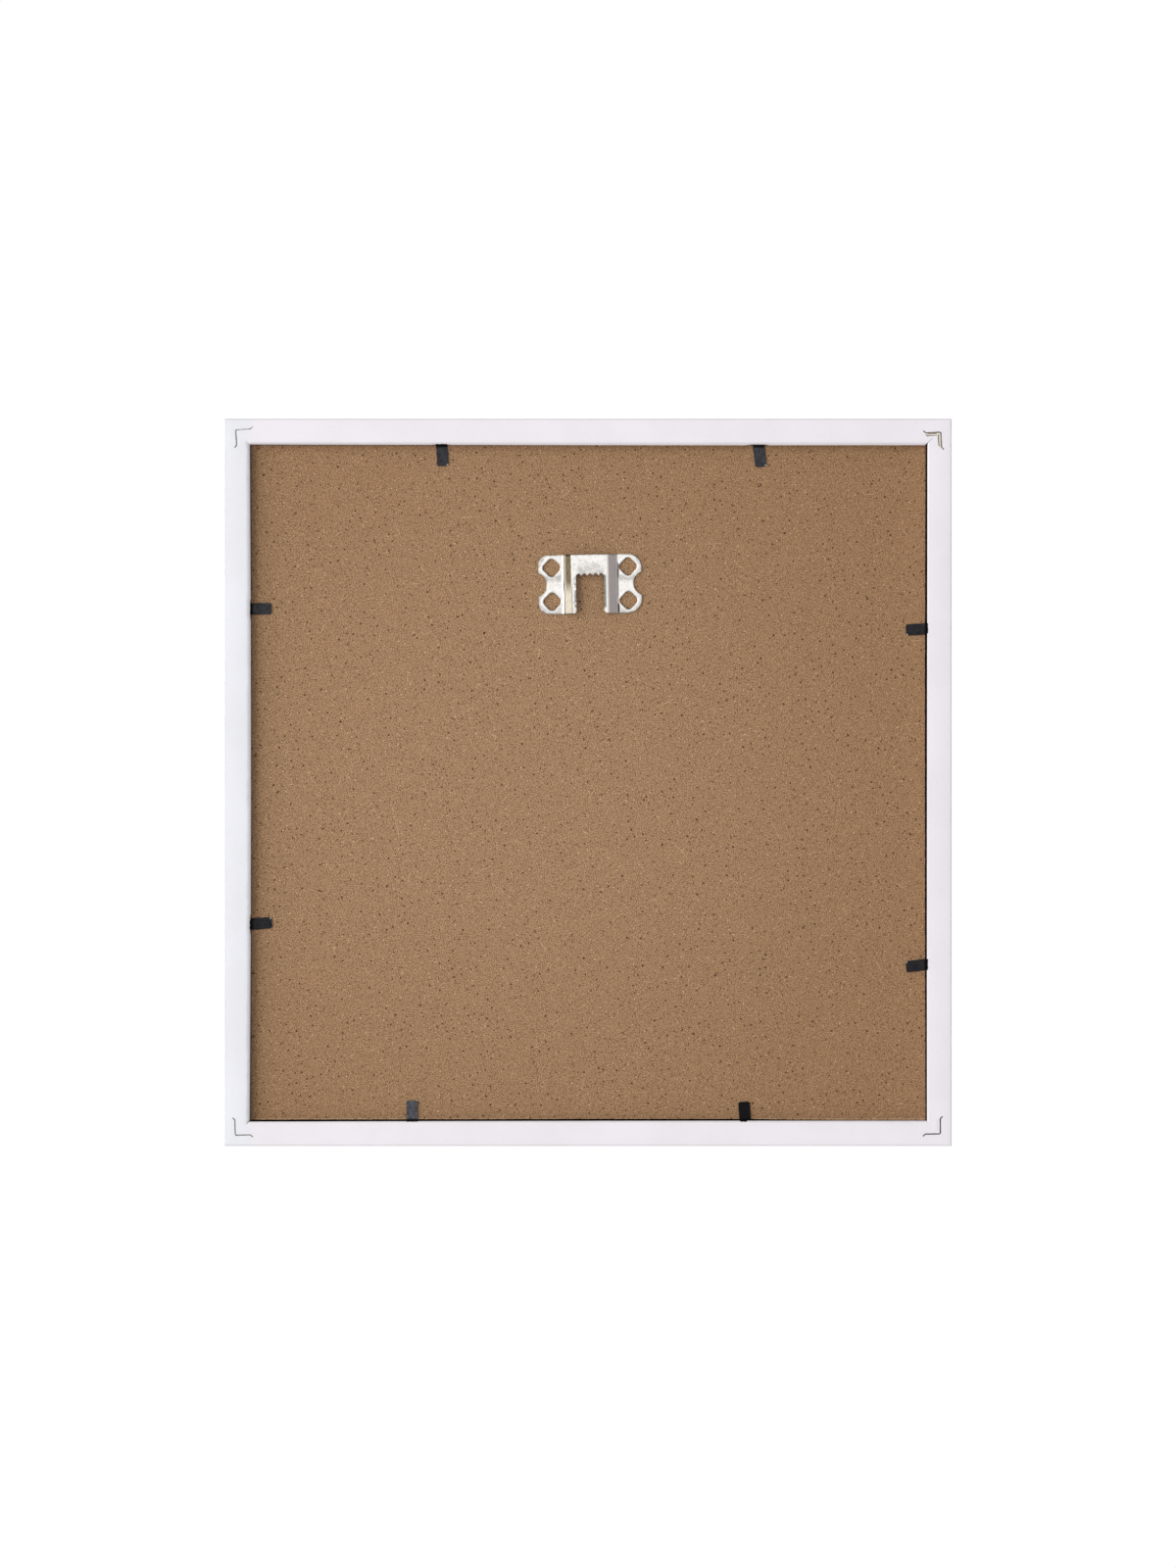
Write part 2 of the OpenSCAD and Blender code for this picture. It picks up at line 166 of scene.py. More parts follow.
def turned(x, z, degrees):
    """A point in X and Z, turned about Y."""
    a = math.radians(degrees)
    return x * math.cos(a) + z * math.sin(a), z * math.cos(a) - x * math.sin(a)


def at_side(side, x, z):
    """From the middle of a side's outer face, with x along the side and z outwards."""
    return turned(x, z + HALF, 90 * side)


def row_at_side(side, x, y, z):
    """From the middle of a side's outer face at the front, as a place in the row frame."""
    x, z = at_side(side, x, z)
    return row(x, y, z)


def at_corner(corner, x, z):
    """From the bend of a corner's nail, with its legs along -x and -z."""
    turn, along, out = NAIL_PLACES[corner]
    x, z = turned(x, z, turn)
    return at_side(corner, x + HALF - NAIL_INSET + along, z - NAIL_INSET + out)


def at_hanger(x, y, z):
    """From the middle of the hanger's plate on the back of the board, as a place in the row frame."""
    x, z = turned(x, z - SEAT_OVER_PLATE, HANGER_TILT)
    return Vector((x, y + BOARD_BACK - SEAT_Y, z)) * MM


# Outlines

def arc(centre, radius, start, end, steps=8):
    """Points on an arc between two angles in degrees."""
    return [(centre[0] + radius * math.cos(math.radians(a)), centre[1] + radius * math.sin(math.radians(a)))
            for a in np.linspace(start, end, steps + 1)]


def eased(corners, steps=8):
    """A closed outline from (x, z, radius) corners."""
    points, count = [], len(corners)
    for i, (x, z, radius) in enumerate(corners):
        b = Vector((x, z))
        if not radius:
            points.append(b)
            continue
        before = (b - Vector(corners[i - 1][:2])).normalized()
        after = (Vector(corners[(i + 1) % count][:2]) - b).normalized()
        turn = math.atan2(before.cross(after), before.dot(after))
        start = b - before * radius * math.tan(abs(turn) / 2)
        centre = start + before.orthogonal() * math.copysign(radius, turn)
        first = math.atan2(start.y - centre.y, start.x - centre.x)
        angles = [first + turn * j / steps for j in range(steps + 1)]
        points += [centre + Vector((math.cos(a), math.sin(a))) * radius for a in angles]
    return [tuple(p) for p in points]


def bent(line, radius, steps=8):
    """An open line with its inner corners bent to a radius."""
    corners = [(x, z, radius if 0 < i < len(line) - 1 else 0) for i, (x, z) in enumerate(line)]
    return eased(corners, steps)


def sideways(line, distance):
    """An open line moved sideways."""
    points = np.array(line, float)
    along = np.diff(points, axis=0)
    along /= np.linalg.norm(along, axis=1)[:, None]
    normals = np.stack([-along[:, 1], along[:, 0]], 1)
    before, after = np.vstack([normals[:1], normals]), np.vstack([normals, normals[-1:]])
    return points + (before + after) / (1 + (before * after).sum(1))[:, None] * distance


def inset(loop, distance):
    """A closed outline moved to the left of its direction, which is inwards where it runs anticlockwise."""
    closed = np.array([loop[-1], *loop, loop[0]], float)
    return sideways(closed, distance)[1:-1]


def spaced(loop, step):
    """A closed outline with extra points, so that none lie further apart than step."""
    points = []
    for a, b in zip(loop, list(loop[1:]) + [loop[0]]):
        count = max(1, math.ceil(math.dist(a, b) / step))
        points += [tuple(np.array(a) + (np.array(b) - np.array(a)) * i / count) for i in range(count)]
    return points


def strip(line, width):
    """The outline of a strip that is centred on a line."""
    return [tuple(p) for p in (*sideways(line, width / 2), *sideways(line, -width / 2)[::-1])]


def ragged(loop, step, amount, rate=1.7):
    """A closed outline with a slightly uneven edge."""
    def off(x, z, seed):
        return amount * noise.noise(Vector((x * rate, z * rate, seed)))
    return [(x + off(x, z, 5.0), z + off(x, z, 9.0)) for x, z in spaced(loop, step)]


def area(loop):
    """The area in a closed outline, above zero where it runs anticlockwise."""
    x, z = np.array(loop, float).T
    return (x * np.roll(z, -1) - z * np.roll(x, -1)).sum() / 2


def inside(points, loop):
    """Which points lie inside a closed outline."""
    x, z = points.T
    found = np.zeros(len(points), bool)
    for (ax, az), (bx, bz) in zip(loop, list(loop[1:]) + [loop[0]]):
        if az != bz:
            found ^= ((az > z) != (bz > z)) & (x < (bx - ax) * (z - az) / (bz - az) + ax)
    return found


def within(points, loops):
    """Which points lie inside the first outline and outside the others."""
    found = inside(points, loops[0])
    for hole in loops[1:]:
        found &= ~inside(points, hole)
    return found


def distance_to(points, loop):
    """Distance of every point from a closed outline."""
    a = np.array(loop, float)
    b = np.roll(a, -1, axis=0)
    best = np.full(len(points), np.inf)
    for p, q in zip(a, b):
        along = q - p
        share = np.clip(((points - p) @ along) / (along @ along), 0, 1)
        best = np.minimum(best, np.linalg.norm(points - p - share[:, None] * along, axis=1))
    return best


def distance_to_any(points, loops):
    """Distance of every point from the nearest closed outline."""
    return np.minimum.reduce([distance_to(points, loop) for loop in loops])


def bell(off, width):
    """A bell curve of height 1."""
    return np.exp(-(off / width) ** 2)


# Meshes

SHARP = math.radians(35)
# In a sheet: the ring inside its edge as a share of the edge's radius, and the room to its grid and the pitch of
# the grid's rows as shares of the step
EDGE_RING, GRID_ROOM, ROW_PITCH = 0.3, 0.3, 0.87


def linked(name, data):
    """A new object in the scene."""
    made = bpy.data.objects.new(name, data)
    scene.collection.objects.link(made)
    return made


def new_piece(name, vertices, faces, materials, body, *nodes, slot=None, kinds=None, marks=None):
    """A piece at the origin that rides on a body and stands for CAD nodes. kinds gives every face its material, and
    marks are named values at the vertices, for the material to use."""
    mesh = bpy.data.meshes.new(name)
    mesh.from_pydata([tuple(v) for v in vertices], [], faces)
    for material in materials:
        mesh.materials.append(material)
    if kinds:
        mesh.polygons.foreach_set("material_index", kinds)
    for key, values in (marks or {}).items():
        mesh.attributes.new(key, "FLOAT", "POINT").data.foreach_set("value", list(values))
    solid = bmesh.new()
    solid.from_mesh(mesh)
    bmesh.ops.recalc_face_normals(solid, faces=solid.faces)
    solid.to_mesh(mesh)
    solid.free()
    mesh.shade_smooth()
    mesh.set_sharp_from_angle(angle=SHARP)
    piece = linked(name, mesh)
    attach(piece, body)
    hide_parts(*nodes)
    return piece


def sheet_mesh(outline, holes, top, bottom, edge_r, step, extra=()):
    """Vertices and faces of a sheet with this outline in X and Z and rounded edges. top and bottom give the
    depths of its two faces at x and z."""
    loops = [outline if area(outline) > 0 else outline[::-1]]
    loops += [h if area(h) < 0 else h[::-1] for h in holes]
    points, edges = [], []
    for loop in loops:
        for ring in (loop, inset(loop, EDGE_RING * edge_r), inset(loop, edge_r)):
            first = len(points)
            points += [tuple(p) for p in ring]
            edges += [(first + i, first + (i + 1) % len(ring)) for i in range(len(ring))]
    low, high = np.array(outline).min(0), np.array(outline).max(0)
    grid = np.array([(x + (j % 2) * step / 2, z) for j, z in enumerate(np.arange(low[1], high[1], step * ROW_PITCH))
                     for x in np.arange(low[0], high[0], step)] + list(extra))
    kept = within(grid, loops) & (distance_to_any(grid, loops) > edge_r + GRID_ROOM * step)
    points += [tuple(p) for p in grid[kept]]
    flat, _, triangles, *_ = delaunay_2d_cdt([Vector(p) for p in points], edges, [], 0, 1e-6)
    flat = np.array([tuple(p) for p in flat])
    solid = within(np.array([flat[list(t)].mean(0) for t in triangles]), loops)
    inner = np.clip(edge_r - distance_to_any(flat, loops), 0, edge_r)
    drop = edge_r - np.sqrt(edge_r ** 2 - inner ** 2)
    x, z = flat.T
    count = len(flat)
    vertices = np.concatenate([np.stack([x, top(x, z) - drop, z], 1), np.stack([x, bottom(x, z) + drop, z], 1)])
    faces, border = [], {}
    for a, b, c in (t for t, keep in zip(triangles, solid) if keep):
        faces += [(c, b, a), (a + count, b + count, c + count)]
        for p, q in ((a, b), (b, c), (c, a)):
            if border.pop((q, p), None) is None:
                border[(p, q)] = True
    faces += [(p, q, q + count, p + count) for p, q in border]
    used = sorted({i for f in faces for i in f})
    place = {old: new for new, old in enumerate(used)}
    return vertices[used], [tuple(place[i] for i in f) for f in faces]


def prism(loop, depth, kind):
    """A solid to cut with: from this deep to past the back face, with this outline in X and Z, and the number of
    the material that it leaves."""
    loop = loop if area(loop) > 0 else loop[::-1]
    n = len(loop)
    vertices = [row(x, y, z) for y in (MOULDING_D - depth, MOULDING_D + OVERRUN) for x, z in loop]
    faces = [tuple(range(n)), tuple(reversed(range(n, 2 * n)))]
    faces += [((i + 1) % n, i, n + i, n + (i + 1) % n) for i in range(n)]
    return vertices, faces, kind


def carve(piece, solids):
    """Cuts solids out of a piece."""
    tools = []
    for vertices, faces, kind in solids:
        mesh = bpy.data.meshes.new("cutter")
        mesh.from_pydata([tuple(v) for v in vertices], [], faces)
        for material in piece.data.materials:
            mesh.materials.append(material)
        mesh.polygons.foreach_set("material_index", [kind] * len(faces))
        tool = linked("cutter", mesh)
        tools.append(tool)
        cut = piece.modifiers.new("cut", "BOOLEAN")
        cut.operation, cut.solver, cut.material_mode = "DIFFERENCE", "EXACT", "INDEX"
        cut.object = tool
    depsgraph = bpy.context.evaluated_depsgraph_get()
    carved = bpy.data.meshes.new_from_object(piece.evaluated_get(depsgraph))
    piece.modifiers.clear()
    old, piece.data = piece.data, carved
    bpy.data.meshes.remove(old)
    for tool in tools:
        mesh = tool.data
        bpy.data.objects.remove(tool)
        bpy.data.meshes.remove(mesh)
    carved.shade_smooth()
    carved.set_sharp_from_angle(angle=SHARP)


# Materials

class Graph:
    """The nodes of a new material or world. Every call makes nodes and returns an output socket."""

    def __init__(self, name, kind="Material"):
        self.kind = kind
        self.owner = (bpy.data.materials if kind == "Material" else bpy.data.worlds).new(name)
        self.owner.use_nodes = True
        self.tree = self.owner.node_tree
        self.tree.nodes.clear()

    def node(self, kind, inputs, output=0, **settings):
        made = self.tree.nodes.new("ShaderNode" + kind)
        for key, value in settings.items():
            setattr(made, key, value)
        for key, value in inputs.items():
            if isinstance(value, bpy.types.NodeSocket):
                self.tree.links.new(value, made.inputs[key])
            else:
                made.inputs[key].default_value = value
        return made.outputs[output]

    def math(self, operation, a, b=0.0, c=0.0):
        return self.node("Math", {0: a, 1: b, 2: c}, operation=operation)

    def times(self, product, *factors):
        for factor in factors:
            product = self.math("MULTIPLY", product, factor)
        return product

    def place(self):
        """The place on the object, in millimetres."""
        return self.node("VectorMath", {0: self.node("TexCoord", {}, "Object"), "Scale": 1 / MM}, operation="SCALE")

    def split(self, vector):
        return self.node("SeparateXYZ", {0: vector}).node.outputs

    def from_middle(self, where):
        """x, y and z counted from the middle of the front face."""
        return self.split(self.node("VectorMath", {0: where, 1: MIDDLE}, operation="SUBTRACT"))

    def join(self, x, y, z):
        return self.node("CombineXYZ", {0: x, 1: y, 2: z})

    def noise(self, where, size, detail=2.0, roughness=0.5, distortion=0.0):
        """Noise from 0 to 1 around 0.5, with lumps of about this size in millimetres."""
        return self.node("TexNoise", {"Vector": where, "Scale": 1 / size, "Detail": detail,
                                      "Roughness": roughness, "Distortion": distortion})

    def step(self, value, low, high, to_low=0.0, to_high=1.0):
        """A smooth step between two values."""
        return self.node("MapRange", {0: value, 1: low, 2: high, 3: to_low, 4: to_high},
                         interpolation_type="SMOOTHSTEP")

    def mix(self, share, a, b, blend="MIX"):
        return self.node("Mix", {0: share, 6: a, 7: b}, 2, data_type="RGBA", blend_type=blend)

    def tint(self, share, tone, colour):
        """A tone multiplied by a colour, as far as share says."""
        return self.mix(share, tone, self.mix(1.0, tone, colour, "MULTIPLY"))

    def blend(self, noise, first, second, low=0.3, high=0.7):
        """Two colours, given as on screen, mixed by a noise."""
        return self.mix(self.step(noise, low, high), shade(*first), shade(*second))

    def bump(self, height, depth):
        """A normal from a height of 0 to 1 that stands for this depth in millimetres."""
        return self.node("Bump", {"Strength": 1.0, "Distance": depth * MM, "Height": height})

    def cells(self, plan, size, angle, randomness):
        """The plan in cells of this size, the outputs of its cells, and three random numbers for each."""
        turned_plan = self.node("VectorRotate", {"Vector": plan, "Angle": angle}, rotation_type="Z_AXIS")
        scaled = self.node("VectorMath", {0: turned_plan, "Scale": 1 / size}, operation="SCALE")
        cells = self.node("TexVoronoi", {"Vector": scaled, "Scale": 1.0, "Randomness": randomness},
                          voronoi_dimensions="2D").node.outputs
        return scaled, cells, self.node("SeparateColor", {0: cells["Color"]}).node.outputs

    def strokes(self, plan, cell, length, width, share, angle, curl=0.35):
        """How strongly short strokes at random angles cover each point. share is how many cells hold one."""
        scaled, cells, chance = self.cells(plan, cell, angle, 0.75)
        offset = self.node("VectorMath", {0: scaled, 1: cells["Position"]}, operation="SUBTRACT")
        spun = self.node("VectorRotate", {"Vector": offset, "Angle": self.times(chance[0], 25.0)},
                         rotation_type="Z_AXIS")
        along, across, _ = self.split(spun)
        bow = self.times(along, along, self.math("MULTIPLY_ADD", chance[1], 2 * curl, -curl))
        off = self.math("ABSOLUTE", self.math("SUBTRACT", across, bow))
        body = self.step(off, 0.5 * width / cell, 0.15 * width / cell)
        reach = self.math("MULTIPLY_ADD", chance[2], 0.35 * length / cell, 0.2 * length / cell)
        ends = self.step(self.math("SUBTRACT", self.math("ABSOLUTE", along), reach), 0.1, -0.15)
        return self.times(body, ends, self.math("LESS_THAN", chance[1], share))

    def dots(self, plan, cell, radius, share, angle):
        """Round dots of random sizes. share is how many cells hold one."""
        _, cells, chance = self.cells(plan, cell, angle, 0.8)
        reach = self.math("MULTIPLY_ADD", chance[0], radius / cell, 0.45 * radius / cell)
        edge = self.math("DIVIDE", cells["Distance"], reach)
        return self.times(self.step(edge, 1.0, 0.4), self.math("LESS_THAN", chance[1], share))

    def mark(self, name):
        """A value that the mesh keeps at its vertices."""
        return self.node("Attribute", {}, "Fac", attribute_name=name)

    def window(self, value, low, high, soft):
        """One between low and high, with soft edges."""
        return self.times(self.step(value, low - soft, low + soft), self.step(value, high + soft, high - soft))

    def surface(self, tone, rough, **more):
        """A principled surface. Keys are socket names with _ for a space."""
        inputs = {"Base Color": tone, "Roughness": rough, **{k.replace("_", " "): v for k, v in more.items()}}
        return self.finish(self.node("BsdfPrincipled", inputs))

    def finish(self, shader):
        """Links the shader to the output and returns the material or world."""
        output = self.tree.nodes.new("ShaderNodeOutput" + self.kind)
        self.tree.links.new(shader, output.inputs["Surface"])
        return self.owner


def shade(red, green, blue):
    """A colour given as it looks on screen, 0 to 255, as the linear colour that nodes take."""
    def linear(c):
        c /= 255
        return c / 12.92 if c <= 0.04045 else ((c + 0.055) / 1.055) ** 2.4
    return (linear(red), linear(green), linear(blue), 1.0)


# Painted light on the board: brightest this far to +x, with painted shade deepening between these distances
LIGHT_PEAK_X, PAINTED_FALLOFF = 42, (30, 240)
# Where the paint changes: x of the bluer rail, and y of the edges and rebate edges in painted shade and of the
# front
BLUER_X, SHADED_EDGES_Y, SHADED_REBATE_Y, FRONT_Y = (149.5, 151.5), (13.4, 14.6), (8, 9), (14, 13.5)
# Painted shade darkens the nail beyond this x and z; the leg within the next x and beyond the next z is painted
# over
SHADED_NAIL, PAINTED_X, PAINTED_Z = (-140, -145), (149, 156.3), (156.3, 156.8)
# Marks on the hanger, as ranges of its own x or z: on the wings, over the teeth, beside the slot; painted light:
# far ramp's reflection, rim highlight, foot shade, crease shadow; near ramp's reflection, core, foot and top shade
WINGS_X, BAND_Z, FOOT_Z, TIPS_X = (12.6, 13.2), (1.4, 4.2), (-8.5, -11.0), (20.0, 21.0)
TEETH_X, TEETH_Z, STRIPS_X, STRIPS_Z = (-5.5, 5.5), (11.0, 7.5), (5.9, 7.1), (-10.5, 4.0)
FAR_REFLECTION_X, FAR_HIGHLIGHT_X, FAR_FOOT_SHADE_X, CREASE_SHADOW_X = (-12.15, -7.6), (-11.95, -11.7), (-12.7, -12.2), (-12.95, -12.2)
NEAR_REFLECTION_X, CORE_X, NEAR_FOOT_SHADE_X, NEAR_TOP_SHADE_X = (8.3, 12.05), (8.4, 10.8), (11.7, 12.15), (8.6, 10.8)


def hardboard():
    """Bare fibreboard: a fine grain of pressed fibres, dark and pale dots, and a few longer fibres. It is
    painted darker towards its edges, as shade where the light falls off."""
    g = Graph("hardboard")
    where = g.place()
    x, _, z = g.split(where)
    plan = g.join(x, z, 0.0)
    tone = g.blend(g.noise(where, 38, 3), (140, 103, 69), (144, 107, 73))
    # Size of the lumps, detail, share, dark and pale
    for size, detail, share, dark, pale in (
            (9.0, 2, 0.04, (94, 57, 32), (208, 169, 129)), (2.6, 2, 0.15, (88, 52, 27), (214, 175, 136)),
            (0.95, 1, 0.33, (78, 45, 23), (216, 178, 140)), (0.42, 1.5, 0.76, (50, 25, 10), (212, 172, 132))):
        lumps = g.noise(where, size, detail, 0.6)
        tone = g.mix(share, tone, g.blend(lumps, dark, pale, 0.25, 0.75))
    height = g.noise(where, 0.5, 3, 0.65)
    # Cell, length, width, share of cells, angle, colour and cover of each kind of fibre
    for cell, length, width, share, angle, colour, cover in (
            (1.3, 1.2, 0.26, 0.6, 0.3, (184, 147, 112), 0.4), (1.6, 1.3, 0.28, 0.6, 1.1, (102, 66, 40), 0.45),
            (4.6, 2.2, 0.24, 0.5, 2.1, (200, 166, 130), 0.65), (6.0, 2.6, 0.28, 0.4, 0.7, (96, 62, 42), 0.6),
            (12, 3.6, 0.3, 0.45, 1.7, (212, 181, 144), 0.85), (33, 6.5, 0.34, 0.35, 0.2, (216, 188, 152), 0.85)):
        stroke = g.strokes(plan, cell, length, width, share, angle)
        tone = g.mix(g.times(stroke, cover), tone, shade(*colour))
        height = g.math("MULTIPLY_ADD", stroke, 0.3, height)
    # Cell, radius, share of cells, angle, colour and cover of each kind of dot
    for cell, radius, share, angle, colour, cover in (
            (2.2, 0.32, 0.5, 0.5, (84, 52, 33), 0.75), (3.7, 0.46, 0.5, 1.9, (62, 38, 26), 0.85),
            (3.1, 0.28, 0.45, 2.5, (218, 188, 156), 0.85), (15.0, 0.5, 0.5, 1.2, (50, 34, 30), 0.9)):
        tone = g.mix(g.times(g.dots(plan, cell, radius, share, angle), cover), tone, shade(*colour))
    # Painted shade: darker with distance from a point to +x, as the fall-off of the light
    off = g.node("VectorMath", {0: plan, 1: (MIDDLE.x + LIGHT_PEAK_X, MIDDLE.z, 0)}, "Value", operation="DISTANCE")
    tone = g.tint(g.step(off, *PAINTED_FALLOFF), tone, (0.86, 0.82, 0.77, 1))
    # The cut edge at the bottom has a paler, torn rim
    foot = row(0, 0, -SHEET / 2).z / MM
    rim = g.times(g.step(z, foot + 0.45, foot + 0.1), g.step(g.noise(where, 1.2, 2), 0.3, 0.6))
    tone = g.mix(g.times(rim, 0.5), tone, shade(206, 176, 142))
    return g.surface(tone, g.step(height, 0.3, 0.7, 0.78, 0.92), Specular_IOR_Level=0.2, Normal=g.bump(height, 0.1))


def white_paint():
    """White paint on wood: a little cloudy, with a fine skin."""
    g = Graph("white_paint")
    where = g.place()
    x, y, z = g.from_middle(where)
    cloud = g.step(g.noise(where, 30, 3), 0.3, 0.7)
    tone = g.mix(cloud, shade(232, 228, 233), shade(236, 232, 238))
    skin = g.noise(where, 0.5, 3, 0.6)
    tone = g.mix(g.step(skin, 0.25, 0.75), g.mix(1.0, tone, shade(252, 251, 250), "MULTIPLY"), tone)
    # One rail is bluer; the outer faces, back edges and rebate edges at top and bottom are painted grey as shade
    tone = g.tint(g.step(x, *BLUER_X), tone, (0.955, 1.0, 1.005, 1))
    wide, tall = g.math("ABSOLUTE", x), g.math("ABSOLUTE", z)
    out = g.math("MAXIMUM", wide, tall)
    edge = g.times(g.step(out, HALF - 1.0, HALF - 0.3), g.step(y, *SHADED_EDGES_Y))
    edge = g.math("MAXIMUM", edge, g.step(out, HALF - 0.3, HALF - 0.1))
    tone = g.tint(edge, tone, (0.86, 0.85, 0.85, 1))
    rebate_shade = g.times(g.window(tall, REBATE / 2 - 1, REBATE / 2 + 0.7, 0.6),
                   g.step(wide, REBATE / 2 + 0.3, REBATE / 2 - 0.5), g.step(y, *SHADED_REBATE_Y))
    tone = g.tint(rebate_shade, tone, (0.84, 0.82, 0.81, 1))
    # The mitres show as fine lines on the front
    mitre = g.times(g.step(g.math("ABSOLUTE", g.math("SUBTRACT", wide, tall)), 0.2, 0.05), g.step(y, *FRONT_Y))
    tone = g.mix(g.times(mitre, g.step(cloud, 0.2, 0.8, 0.25, 0.6)), tone, shade(150, 141, 138))
    height = g.math("ADD", skin, g.times(g.noise(where, 2.5, 2), 2.0))
    return g.surface(tone, g.step(skin, 0.2, 0.8, 0.42, 0.55), Specular_IOR_Level=0.4, Normal=g.bump(height, 0.012))


def wood(name, dark, pale):
    """Bare or torn wood."""
    g = Graph(name)
    where = g.place()
    grain = g.noise(where, 0.3, 3, 0.6, 0.4)
    tone = g.blend(grain, dark, pale)
    return g.surface(tone, 0.85, Specular_IOR_Level=0.15, Normal=g.bump(grain, 0.05))


def plated_steel():
    """Plated sheet, in the hanger's own x and z: cloudy, grey where it is rubbed, with painted reflections on both
    ramps, painted highlights round the holes and painted shade at its edges and creases."""
    g = Graph("plated_steel")
    where = g.place()
    tilt = math.radians(HANGER_TILT)
    x, _, z = g.split(g.node("VectorRotate", {"Vector": where, "Angle": -tilt}, rotation_type="Y_AXIS"))
    z = g.math("ADD", z, SEAT_OVER_PLATE)
    across = g.math("ABSOLUTE", x)
    cloud = g.noise(where, 2.2, 3, 0.6)
    fine = g.noise(where, 0.55, 3, 0.65)
    # Rubbed grey: above the middle and at the foot of the wings, at their ends and over the teeth
    wings = g.step(across, *WINGS_X)
    rubbed = g.times(wings, g.window(z, *BAND_Z, 1.0))
    for zone in (g.times(wings, g.step(z, *FOOT_Z, 0.0, 0.8)), g.step(across, *TIPS_X, 0.0, 0.6),
                 g.times(g.window(x, *TEETH_X, 1.5), g.step(z, *TEETH_Z, 0.0, 0.65))):
        rubbed = g.math("MAXIMUM", rubbed, zone)
    # The ring round every hole is painted brighter, as a highlight
    level = g.math("MULTIPLY_ADD", rubbed, 0.35, g.times(g.mark("rim"), -0.35))
    grey = g.math("ADD", g.math("MULTIPLY_ADD", cloud, 0.8, g.times(fine, 0.5)), level)
    tone = g.blend(grey, (252, 249, 245), (190, 187, 182), 0.5, 1.1)
    strips = g.times(g.window(across, *STRIPS_X, 0.15), g.window(z, *STRIPS_Z, 0.6))
    worn = g.math("ADD", g.math("ADD", cloud, fine), g.step(x, -4.0, 4.0, 0.25, g.step(z, -2.0, -5.0, -0.15, 0.1)))
    tone = g.mix(g.times(strips, g.step(worn, 0.75, 1.15)), tone, shade(142, 142, 136))
    # Painted reflection on the far ramp, a painted highlight at its rim, and painted shade at its foot and in its
    # crease
    far_reflection = g.blend(fine, (212, 201, 198), (222, 212, 209))
    tone = g.mix(g.window(x, *FAR_REFLECTION_X, 0.12), tone, far_reflection)
    tone = g.mix(g.window(x, *FAR_HIGHLIGHT_X, 0.1), tone, shade(236, 226, 222))
    tone = g.mix(g.times(g.window(x, *FAR_FOOT_SHADE_X, 0.1), g.step(z, 10.0, 9.0)), tone, shade(150, 142, 139))
    crease_shadow = g.math("MAXIMUM", g.times(g.window(z, 2.6, 9.0, 0.8), 0.75), g.window(z, -12.9, -9.0, 0.5))
    crease_shadow = g.times(g.window(x, *CREASE_SHADOW_X, 0.12), crease_shadow, g.step(cloud, 0.3, 0.5, 0.6, 1.0))
    tone = g.mix(crease_shadow, tone, shade(58, 49, 47))
    # Near ramp: a painted reflection, dark over its middle and fading to cream at its foot, and painted shade at
    # foot and top
    streaks = g.noise(g.join(g.times(x, 2.2), 0.0, g.times(z, 0.35)), 1.0, 3, 0.6)
    core = g.window(x, *CORE_X, 0.3)
    dark = g.blend(streaks, (50, 42, 31), (86, 77, 60), 0.3, 0.65)
    stain_and_painted_reflection = g.mix(core, g.blend(streaks, (106, 99, 89), (126, 119, 109)), dark)
    cream = g.blend(streaks, (130, 123, 110), (144, 137, 125))
    fade = g.step(g.math("MULTIPLY_ADD", streaks, 1.6, z), -4.6, 3.4)
    near = g.math("ADD", x, g.step(z, 2.0, -6.0, 0.0, 0.35))
    tone = g.mix(g.window(near, *NEAR_REFLECTION_X, 0.12), tone, g.mix(fade, cream, stain_and_painted_reflection))
    tone = g.mix(g.times(g.window(near, *NEAR_FOOT_SHADE_X, 0.1), g.step(z, 3.0, 0.0)), tone, shade(40, 36, 32))
    tone = g.mix(g.times(g.window(x, *NEAR_TOP_SHADE_X, 0.4), g.step(z, 12.2, 12.9)), tone, shade(24, 18, 14))
    # The edges of the holes and of the outline are painted darker, as shade
    edge = g.times(g.mark("edge"), g.step(cloud, 0.3, 0.65, 0.4, 0.85))
    tone = g.tint(edge, tone, shade(122, 112, 102))
    return g.surface(tone, g.step(cloud, 0.3, 0.7, 0.36, 0.26), Metallic=1.0, Normal=g.bump(fine, 0.012))


def bare_steel():
    """Dull bare steel of the corner nails. One nail is painted darker as shade, and one leg of another is mostly
    painted over.
    """
    g = Graph("bare_steel")
    where = g.place()
    x, _, z = g.from_middle(where)
    stain_and_painted_reflection = g.noise(where, 0.8, 3, 0.6)
    tone = g.blend(stain_and_painted_reflection, (92, 92, 86), (146, 147, 144))
    # One nail is painted darker, as shade
    tone = g.tint(g.times(g.step(x, *SHADED_NAIL), g.step(z, *SHADED_NAIL)), tone, (0.2, 0.19, 0.17, 1))
    painted = g.times(g.window(x, *PAINTED_X, 0.3), g.step(z, *PAINTED_Z), g.step(stain_and_painted_reflection, 0.3, 0.6, 0.15, 0.6))
    tone = g.mix(painted, tone, shade(232, 228, 233))
    return g.surface(tone, g.step(stain_and_painted_reflection, 0.3, 0.7, 0.5, 0.38), Metallic=g.step(painted, 0.2, 0.6, 1.0, 0.0),
                     Normal=g.bump(stain_and_painted_reflection, 0.02))


